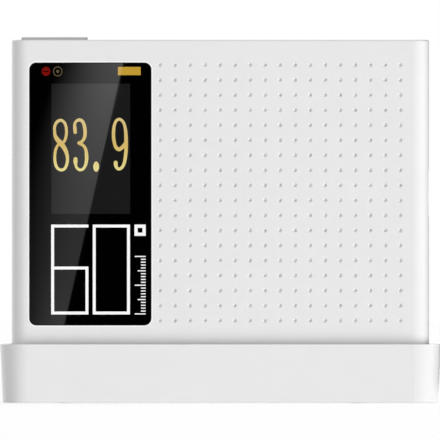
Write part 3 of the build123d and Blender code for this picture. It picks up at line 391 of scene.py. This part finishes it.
def display_gold(low, high):
    """Lit digits: pale yellow at their foot, deeper gold half way up and paler again at their top."""
    made = Surface("digit_gold", tone(213, 182, 106), 0.01, GLOSS)
    parts = made.add("ShaderNodeSeparateXYZ")
    made.link(made.place, parts.inputs["Vector"])
    middle = (low + high) / 2
    rising = made.between(parts.outputs["Z"], 0.0, 1.0, low, middle)
    lower = made.blend(rising, tone(230, 217, 142), made.colour)
    fading = made.between(parts.outputs["Z"], 0.0, 1.0, middle, high)
    made.link(made.blend(fading, lower, tone(217, 194, 130)), made.shader.inputs["Base Color"])
    made.uneven_gloss(15 * MM, 0.003)
    return made


mark_white = polished("mark_white", tone(254, 254, 254), settings=GLOSS)
lamp_red = polished("lamp_red", tone(122, 18, 14), settings=GLOSS)
lamp_amber = polished("lamp_amber", tone(98, 86, 60), settings=GLOSS)
charge_gold = polished("charge_gold", tone(195, 155, 54), settings=GLOSS)

window_low, window_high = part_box("display_window")
WINDOW_FACE = window_low.y
PRINT = 0.01 * MM
SCREEN_FACE = WINDOW_FACE - PRINT

# The sizes and places below are in millimetres, right of and above the window's lower left corner.
SCREEN = bar(left=6.05, right=27.54, bottom=30.42, top=65.98)
flat_piece("screen_field", [SCREEN], screen_glass, WINDOW_FACE, PRINT)

# Painted highlight: a thin ring, whiter than the case, lies round the window's opening and stands for a
# bright edge.
HIGHLIGHT_RING_WIDTH = 0.32
HIGHLIGHT_RING_GAP = 0.07
HIGHLIGHT_RING_CORNER = 1.9
# The ring's white is painted highlight, not the case's own colour.
painted_highlight_white = moulded("painted_highlight_white", tone(251, 251, 251), 0.3)
highlight_ring_reach = HIGHLIGHT_RING_GAP + HIGHLIGHT_RING_WIDTH / 2
highlight_ring_right = (window_high.x - window_low.x) / MM + highlight_ring_reach
highlight_ring_top = (window_high.z - window_low.z) / MM + highlight_ring_reach
highlight_ring_line = rounded_bar(-highlight_ring_reach, highlight_ring_right, -highlight_ring_reach, highlight_ring_top, HIGHLIGHT_RING_CORNER + highlight_ring_reach)
highlight_ring_outlines = stroke(highlight_ring_line, HIGHLIGHT_RING_WIDTH, closed=True)
flat_piece("window_painted_highlight", highlight_ring_outlines, painted_highlight_white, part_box("front_shell")[0].y, PRINT)

DIGIT_BASE = 42.4
DIGIT_HEIGHT = 13.6
DIGIT_TOP = DIGIT_BASE + DIGIT_HEIGHT
EIGHT_X, THREE_X, POINT_X, NINE_X = 8.57, 12.36, 18.25, 22.98
POINT_LIFT, POINT_HALF_WIDTH, POINT_HALF_HEIGHT = 0.93, 0.79, 1.4
digit_gold = display_gold(window_low.z + DIGIT_BASE * MM, window_low.z + DIGIT_TOP * MM)

# The middle line of each digit's stroke, right of the digit's own place and above DIGIT_BASE, and the
# stroke's width there
EIGHT = [
    (-0.07, 13.6, 0.8), (-1.12, 13.0, 0.8), (-1.64, 11.8, 0.78), (-1.66, 10.5, 0.76), (-1.5, 9.35, 0.95),
    (-1.0, 8.45, 1.18), (-0.15, 7.45, 1.4), (0.7, 6.45, 1.28), (1.42, 5.15, 1.08), (1.83, 3.5, 0.88),
    (1.75, 1.9, 0.82), (1.18, 0.5, 0.78), (0.15, 0.0, 0.8), (-0.95, 0.6, 0.78), (-1.5, 2.05, 0.8),
    (-1.6, 3.8, 0.77), (-1.35, 5.6, 0.75), (-0.62, 6.95, 0.72), (0.35, 7.3, 0.74), (0.95, 7.8, 0.76),
    (1.36, 8.75, 0.78), (1.6, 10.2, 0.79), (1.43, 11.9, 0.78), (0.93, 13.05, 0.75),
]
THREE_UPPER = [
    (0.18, 10.3, 0.92), (0.08, 11.3, 0.98), (0.05, 12.6, 0.72), (0.55, 13.38, 0.74), (1.32, 13.68, 0.85),
    (2.06, 13.36, 0.88), (2.57, 12.4, 0.9), (2.83, 11.04, 0.94), (2.85, 9.67, 0.92), (2.58, 8.56, 0.88),
    (2.0, 7.79, 0.8), (1.12, 7.46, 0.66),
]
THREE_LOWER = [
    (1.12, 7.3, 0.72), (1.88, 7.02, 0.88), (2.6, 6.44, 0.82), (3.08, 5.45, 0.84), (3.28, 3.95, 0.96),
    (3.25, 2.58, 0.92), (2.97, 1.3, 0.8), (2.35, 0.32, 0.74), (1.45, 0.03, 0.76), (0.68, 0.53, 0.72),
    (0.33, 1.35, 0.76), (0.25, 2.3, 1.15), (0.26, 3.0, 1.05),
]
NINE = [
    (3.25, 7.3, 0.9), (2.48, 6.26, 1.0), (1.52, 5.66, 1.08), (0.74, 6.15, 0.98), (0.26, 7.35, 0.92),
    (0.03, 9.0, 0.9), (0.03, 10.63, 0.9), (0.24, 12.27, 0.82), (0.76, 13.41, 0.78), (1.56, 13.87, 0.8),
    (2.43, 13.38, 0.77), (3.0, 12.29, 0.78), (3.32, 10.63, 0.88), (3.43, 8.45, 1.0), (3.45, 6.0, 0.96),
    (3.31, 4.08, 0.93), (3.01, 2.17, 0.86), (2.46, 0.89, 0.82), (1.53, 0.25, 0.8), (0.9, 0.64, 0.84),
    (0.64, 1.35, 1.02), (0.61, 2.0, 1.08),
]


def digit(name, outlines):
    flat_piece(name, outlines, digit_gold, SCREEN_FACE, PRINT)


def open_line(points, left):
    """An open stroke of the digit whose own place is at left."""
    return stroke(spline(moved(points, left, DIGIT_BASE)), round_ends=True)


digit("digit_eight", stroke(spline(moved(EIGHT, EIGHT_X, DIGIT_BASE), closed=True), closed=True))
digit("digit_three", open_line(THREE_UPPER, THREE_X) + open_line(THREE_LOWER, THREE_X))
digit("digit_point", [ellipse((POINT_X, DIGIT_BASE + POINT_LIFT), POINT_HALF_WIDTH, POINT_HALF_HEIGHT)])
digit("digit_nine", open_line(NINE, NINE_X))

MARK_TOP, MARK_BOTTOM = 27.5, 2.96
MARK_STROKE = 0.8
SIX_LEFT, SIX_RIGHT = 5.97, 16.14
SIX_BAR = 15.64
ZERO_LEFT, ZERO_RIGHT = 17.32, 27.48
DEGREE_LEFT, DEGREE_SIZE, DEGREE_STROKE = 28.7, 3.08, 0.89


def inset(left, right, bottom, top, width):
    """The centre line of a rectangular frame that width fills outwards to these edges."""
    half = width / 2
    return bar(left + half, right - half, bottom + half, top - half)


def mark(name, outlines):
    flat_piece(name, outlines, mark_white, WINDOW_FACE, PRINT)


half_stroke = MARK_STROKE / 2
six_path = [
    (SIX_RIGHT, MARK_TOP - half_stroke),
    (SIX_LEFT + half_stroke, MARK_TOP - half_stroke),
    (SIX_LEFT + half_stroke, MARK_BOTTOM + half_stroke),
    (SIX_RIGHT - half_stroke, MARK_BOTTOM + half_stroke),
    (SIX_RIGHT - half_stroke, SIX_BAR),
    (SIX_LEFT + half_stroke, SIX_BAR),
]
zero_path = inset(ZERO_LEFT, ZERO_RIGHT, MARK_BOTTOM, MARK_TOP, MARK_STROKE)
degree_right = DEGREE_LEFT + DEGREE_SIZE
degree_path = inset(DEGREE_LEFT, degree_right, MARK_TOP - DEGREE_SIZE, MARK_TOP, DEGREE_STROKE)
mark("mark_six", stroke(six_path, MARK_STROKE))
mark("mark_zero", stroke(zero_path, MARK_STROKE, closed=True))
mark("mark_degree", stroke(degree_path, DEGREE_STROKE, closed=True))

# A plain scale of ticks fills the strip under the degree mark.
TICKS = 21
TICK_TOP = 18.8
HALF_TICK = 0.15
LONG_TICK, MIDDLE_TICK, SHORT_TICK = 3.0, 2.2, 1.3
lowest_tick = MARK_BOTTOM + HALF_TICK
ticks = []
for index in range(TICKS):
    height = lowest_tick + (TICK_TOP - lowest_tick) * index / (TICKS - 1)
    length = LONG_TICK if index % 10 == 0 else MIDDLE_TICK if index % 5 == 0 else SHORT_TICK
    ticks.append(bar(degree_right - length, degree_right, height - HALF_TICK, height + HALF_TICK))
mark("mark_scale", ticks)

STATUS_Z = 69.32
RECORD_X, RING_X = 4.56, 7.75
RECORD_HALF_WIDTH, RING_HALF_WIDTH, ICON_HALF_HEIGHT = 1.18, 1.16, 1.24
RECORD_BAR_HALF_WIDTH, RECORD_BAR_HALF_HEIGHT = 0.8, 0.15
RING_STROKE = 0.24
DOT_RADIUS = 0.42
CHARGE_LEFT, CHARGE_RIGHT = 24.2, 30.4
CHARGE_LOW, CHARGE_HIGH = 68.295, 70.545


def icon(name, outlines, surface):
    flat_piece(name, outlines, surface, WINDOW_FACE, PRINT)


record_disc = ellipse((RECORD_X, STATUS_Z), RECORD_HALF_WIDTH, ICON_HALF_HEIGHT)
record_bar = bar(
    RECORD_X - RECORD_BAR_HALF_WIDTH, RECORD_X + RECORD_BAR_HALF_WIDTH,
    STATUS_Z - RECORD_BAR_HALF_HEIGHT, STATUS_Z + RECORD_BAR_HALF_HEIGHT,
)
ring_path = ellipse((RING_X, STATUS_Z), RING_HALF_WIDTH, ICON_HALF_HEIGHT)
icon("status_record", [record_disc], lamp_red)
flat_piece("status_record_bar", [record_bar], window_black, WINDOW_FACE - PRINT, PRINT)
icon("status_ring", stroke(ring_path, RING_STROKE, closed=True), lamp_amber)
icon("status_dot", [ellipse((RING_X, STATUS_Z), DOT_RADIUS, DOT_RADIUS, count=24)], lamp_amber)
icon("status_charge", [bar(CHARGE_LEFT, CHARGE_RIGHT, CHARGE_LOW, CHARGE_HIGH)], charge_gold)


# Stage, light and camera

# The camera's place, its distance from the front, the width it sees there and how far it sees, in metres
CAMERA_X = -0.09 * MM
CAMERA_Z = 50 * MM
CAMERA_DISTANCE = 5
FRAME_WIDTH = 120.04 * MM
FARTHEST_SEEN = 50
SENSOR_WIDTH = 36
front = cad_box[0][1]

camera = bpy.data.objects.new("camera", bpy.data.cameras.new("camera"))
camera.location = (CAMERA_X, front - CAMERA_DISTANCE, CAMERA_Z)
camera.rotation_euler = (math.pi / 2, 0, 0)
camera.data.sensor_width = SENSOR_WIDTH
camera.data.lens = SENSOR_WIDTH * CAMERA_DISTANCE / FRAME_WIDTH
camera.data.clip_end = FARTHEST_SEEN
bpy.context.scene.collection.objects.link(camera)
bpy.context.scene.camera = camera

# The level of the world's light
AMBIENT = 0.555

# The level of the floor's own light, which makes it be seen white, and half the floor's width in metres
FLOOR_GLOW = 0.42
FLOOR_HALF_WIDTH = 4


def white_seen(tree):
    """1 for camera, glossy and transmission rays, and 0 for all others."""
    path = tree.nodes.new("ShaderNodeLightPath")
    total = path.outputs["Is Camera Ray"]
    for ray in ("Is Glossy Ray", "Is Transmission Ray"):
        larger = tree.nodes.new("ShaderNodeMath")
        larger.operation = "MAXIMUM"
        tree.links.new(total, larger.inputs[0])
        tree.links.new(path.outputs[ray], larger.inputs[1])
        total = larger.outputs[0]
    return total


def make_world():
    """A world that is seen white, and lights the object with the level AMBIENT."""
    world = bpy.data.worlds.new("studio")
    bpy.context.scene.world = world
    world.use_nodes = True
    tree = world.node_tree
    mix = tree.nodes.new("ShaderNodeMix")
    mix.data_type = "RGBA"
    mix.inputs[MIX_FIRST].default_value = (AMBIENT, AMBIENT, AMBIENT, 1)
    mix.inputs[MIX_SECOND].default_value = (1, 1, 1, 1)
    tree.links.new(white_seen(tree), mix.inputs["Factor"])
    tree.links.new(mix.outputs[MIX_RESULT], tree.nodes["Background"].inputs["Color"])


def sun(name, strength, azimuth, elevation, softness):
    """A sun that shines from that azimuth, right of the camera, and elevation, in degrees.

    It lights surfaces, but gloss doesn't show it."""
    lamp = bpy.data.objects.new(name, bpy.data.lights.new(name, "SUN"))
    lamp.data.energy = strength * math.pi
    lamp.data.angle = math.radians(softness)
    a, e = math.radians(azimuth), math.radians(elevation)
    source = Vector((math.sin(a) * math.cos(e), -math.cos(a) * math.cos(e), math.sin(e)))
    lamp.visible_glossy = False
    lamp.rotation_mode = "QUATERNION"
    lamp.rotation_quaternion = source.to_track_quat("Z", "Y")
    bpy.context.scene.collection.objects.link(lamp)


def sheet(name, corners, surface):
    """A flat stage sheet."""
    mesh = bpy.data.meshes.new(name)
    mesh.from_pydata(corners, [], [tuple(range(len(corners)))])
    mesh.materials.append(surface)
    made = bpy.data.objects.new(name, mesh)
    bpy.context.scene.collection.objects.link(made)
    return made


def floor_material():
    """Pale matt sheet: it shows white and keeps the shadow, and is clear from below."""
    made = bpy.data.materials.new("floor_sheet")
    made.use_nodes = True
    tree = made.node_tree
    shader = tree.nodes["Principled BSDF"]
    shader.inputs["Base Color"].default_value = (0.8, 0.8, 0.8, 1)
    shader.inputs["Roughness"].default_value = 0.9
    shader.inputs["Specular IOR Level"].default_value = 0.0
    glow = tree.nodes.new("ShaderNodeEmission")
    lift = tree.nodes.new("ShaderNodeMath")
    lift.operation = "MULTIPLY"
    lift.inputs[1].default_value = FLOOR_GLOW
    tree.links.new(white_seen(tree), lift.inputs[0])
    tree.links.new(lift.outputs[0], glow.inputs["Strength"])
    both = tree.nodes.new("ShaderNodeAddShader")
    tree.links.new(shader.outputs[0], both.inputs[0])
    tree.links.new(glow.outputs[0], both.inputs[1])
    clear = tree.nodes.new("ShaderNodeBsdfTransparent")
    side = tree.nodes.new("ShaderNodeNewGeometry")
    choose = tree.nodes.new("ShaderNodeMixShader")
    tree.links.new(side.outputs["Backfacing"], choose.inputs[0])
    tree.links.new(both.outputs[0], choose.inputs[1])
    tree.links.new(clear.outputs[0], choose.inputs[2])
    tree.links.new(choose.outputs[0], tree.nodes["Material Output"].inputs["Surface"])
    return made


def reflected_only(made):
    """The sheet shows in glossy surfaces and nowhere else."""
    made.visible_camera = False
    made.visible_diffuse = False
    made.visible_transmission = False
    made.visible_shadow = False


def sheen_material(spread):
    """Black card with a slanted glow on it, which the window mirrors.

    The card is larger by the factor spread than its picture on the window."""
    made = bpy.data.materials.new("sheen_card")
    made.use_nodes = True
    tree = made.node_tree
    tree.nodes.remove(tree.nodes["Principled BSDF"])

    def math_node(operation, first, second, third=None, clamp=False):
        node = tree.nodes.new("ShaderNodeMath")
        node.operation = operation
        node.use_clamp = clamp
        for socket, part in zip(node.inputs, (first, second, third)):
            if isinstance(part, (int, float)):
                socket.default_value = part
            elif part is not None:
                tree.links.new(part, socket)
        return node.outputs[0]

    place = tree.nodes.new("ShaderNodeTexCoord").outputs["Object"]
    parts = tree.nodes.new("ShaderNodeSeparateXYZ")
    tree.links.new(place, parts.inputs[0])
    across = math_node("DIVIDE", parts.outputs["X"], spread)
    height = math_node("DIVIDE", parts.outputs["Z"], spread)
    edge = math_node("MULTIPLY_ADD", height, SHEEN_LEAN, SHEEN_EDGE - CAMERA_X)
    from_widest = math_node("DIVIDE", math_node("SUBTRACT", height, SHEEN_WIDEST), SHEEN_NARROWING)
    squared = math_node("MULTIPLY", from_widest, from_widest)
    width = math_node("MULTIPLY_ADD", squared, -SHEEN_WIDTH, SHEEN_WIDTH)
    inward = math_node("DIVIDE", math_node("SUBTRACT", edge, across), width)
    lit = math_node("GREATER_THAN", inward, 0.0)
    bell = math_node("SUBTRACT", 1.0, math_node("MULTIPLY", inward, inward), clamp=True)
    fade = math_node("POWER", bell, SHEEN_FADE)
    from_dim = math_node("DIVIDE", math_node("ADD", height, SHEEN_DIM_DROP), SHEEN_RISE)
    level = math_node("MULTIPLY_ADD", from_dim, from_dim, 1.0)
    glow = tree.nodes.new("ShaderNodeEmission")
    strength = math_node("MULTIPLY", math_node("MULTIPLY", fade, lit), level)
    tree.links.new(math_node("MULTIPLY", strength, SHEEN_LEVEL), glow.inputs["Strength"])
    tree.links.new(glow.outputs[0], tree.nodes["Material Output"].inputs["Surface"])
    return made


def black_material():
    """Black without any gloss."""
    made = bpy.data.materials.new("black_flag")
    made.use_nodes = True
    shader = made.node_tree.nodes["Principled BSDF"]
    shader.inputs["Base Color"].default_value = (0, 0, 0, 1)
    shader.inputs["Specular IOR Level"].default_value = 0
    return made


# The sheen, as it is seen on the window: where its sharp edge is at the camera's height and how that edge
# leans; how wide the glow is, how far above that height it is widest and how far from there it would end;
# how far below that height it is dimmest, and how far from there it is twice as bright; how fast it fades
# from its edge, and how bright it is
SHEEN_EDGE = -36.15 * MM
SHEEN_LEAN = 0.2255
SHEEN_WIDTH = 20.8 * MM
SHEEN_WIDEST = 16 * MM
SHEEN_NARROWING = 75 * MM
SHEEN_DIM_DROP = 4.5 * MM
SHEEN_RISE = 38.5 * MM
SHEEN_FADE = 1.9
SHEEN_LEVEL = 0.7

# How far the card stands in front of the origin, in metres. Its picture on the window is larger than the
# window, by the margin on each side and below and by the rise above, where the lifted meter's window goes.
CARD_DISTANCE = 0.9
CARD_MARGIN = 4 * MM
CARD_RISE = 34 * MM

# The right edges mirror a dark sheet that stands beside the object and runs back. Its places are in metres.
FLAG_X = 0.12
FLAG_FRONT, FLAG_BACK = -0.01, 1.5
FLAG_TOP = 0.8

make_world()
sun("key", strength=0.745, azimuth=50.5, elevation=-20, softness=40)
sun("top_fill", strength=0.15, azimuth=0, elevation=89, softness=60)
sun("rim", strength=0.27, azimuth=-144, elevation=-5, softness=30)

far = FLOOR_HALF_WIDTH
floor_corners = [(-far, -far, 0), (far, -far, 0), (far, far, 0), (-far, far, 0)]
floor = sheet("floor", floor_corners, floor_material())
floor.visible_shadow = False

card_spread = 1 + (CARD_DISTANCE + WINDOW_FACE) / (-camera.location.y + WINDOW_FACE)
card_left = (window_low.x - CARD_MARGIN - CAMERA_X) * card_spread
card_right = (window_high.x + CARD_MARGIN - CAMERA_X) * card_spread
card_low = (window_low.z - CARD_MARGIN - CAMERA_Z) * card_spread
card_high = (window_high.z + CARD_RISE - CAMERA_Z) * card_spread
card_corners = [
    (card_left, 0, card_low), (card_left, 0, card_high),
    (card_right, 0, card_high), (card_right, 0, card_low),
]
card = sheet("sheen_card", card_corners, sheen_material(card_spread))
card.location = (CAMERA_X, -CARD_DISTANCE, CAMERA_Z)
reflected_only(card)

flag_corners = [
    (FLAG_X, FLAG_FRONT, 0), (FLAG_X, FLAG_BACK, 0),
    (FLAG_X, FLAG_BACK, FLAG_TOP), (FLAG_X, FLAG_FRONT, FLAG_TOP),
]
flag = sheet("edge_flag", flag_corners, black_material())
reflected_only(flag)

bpy.context.scene.view_settings.view_transform = "Standard"
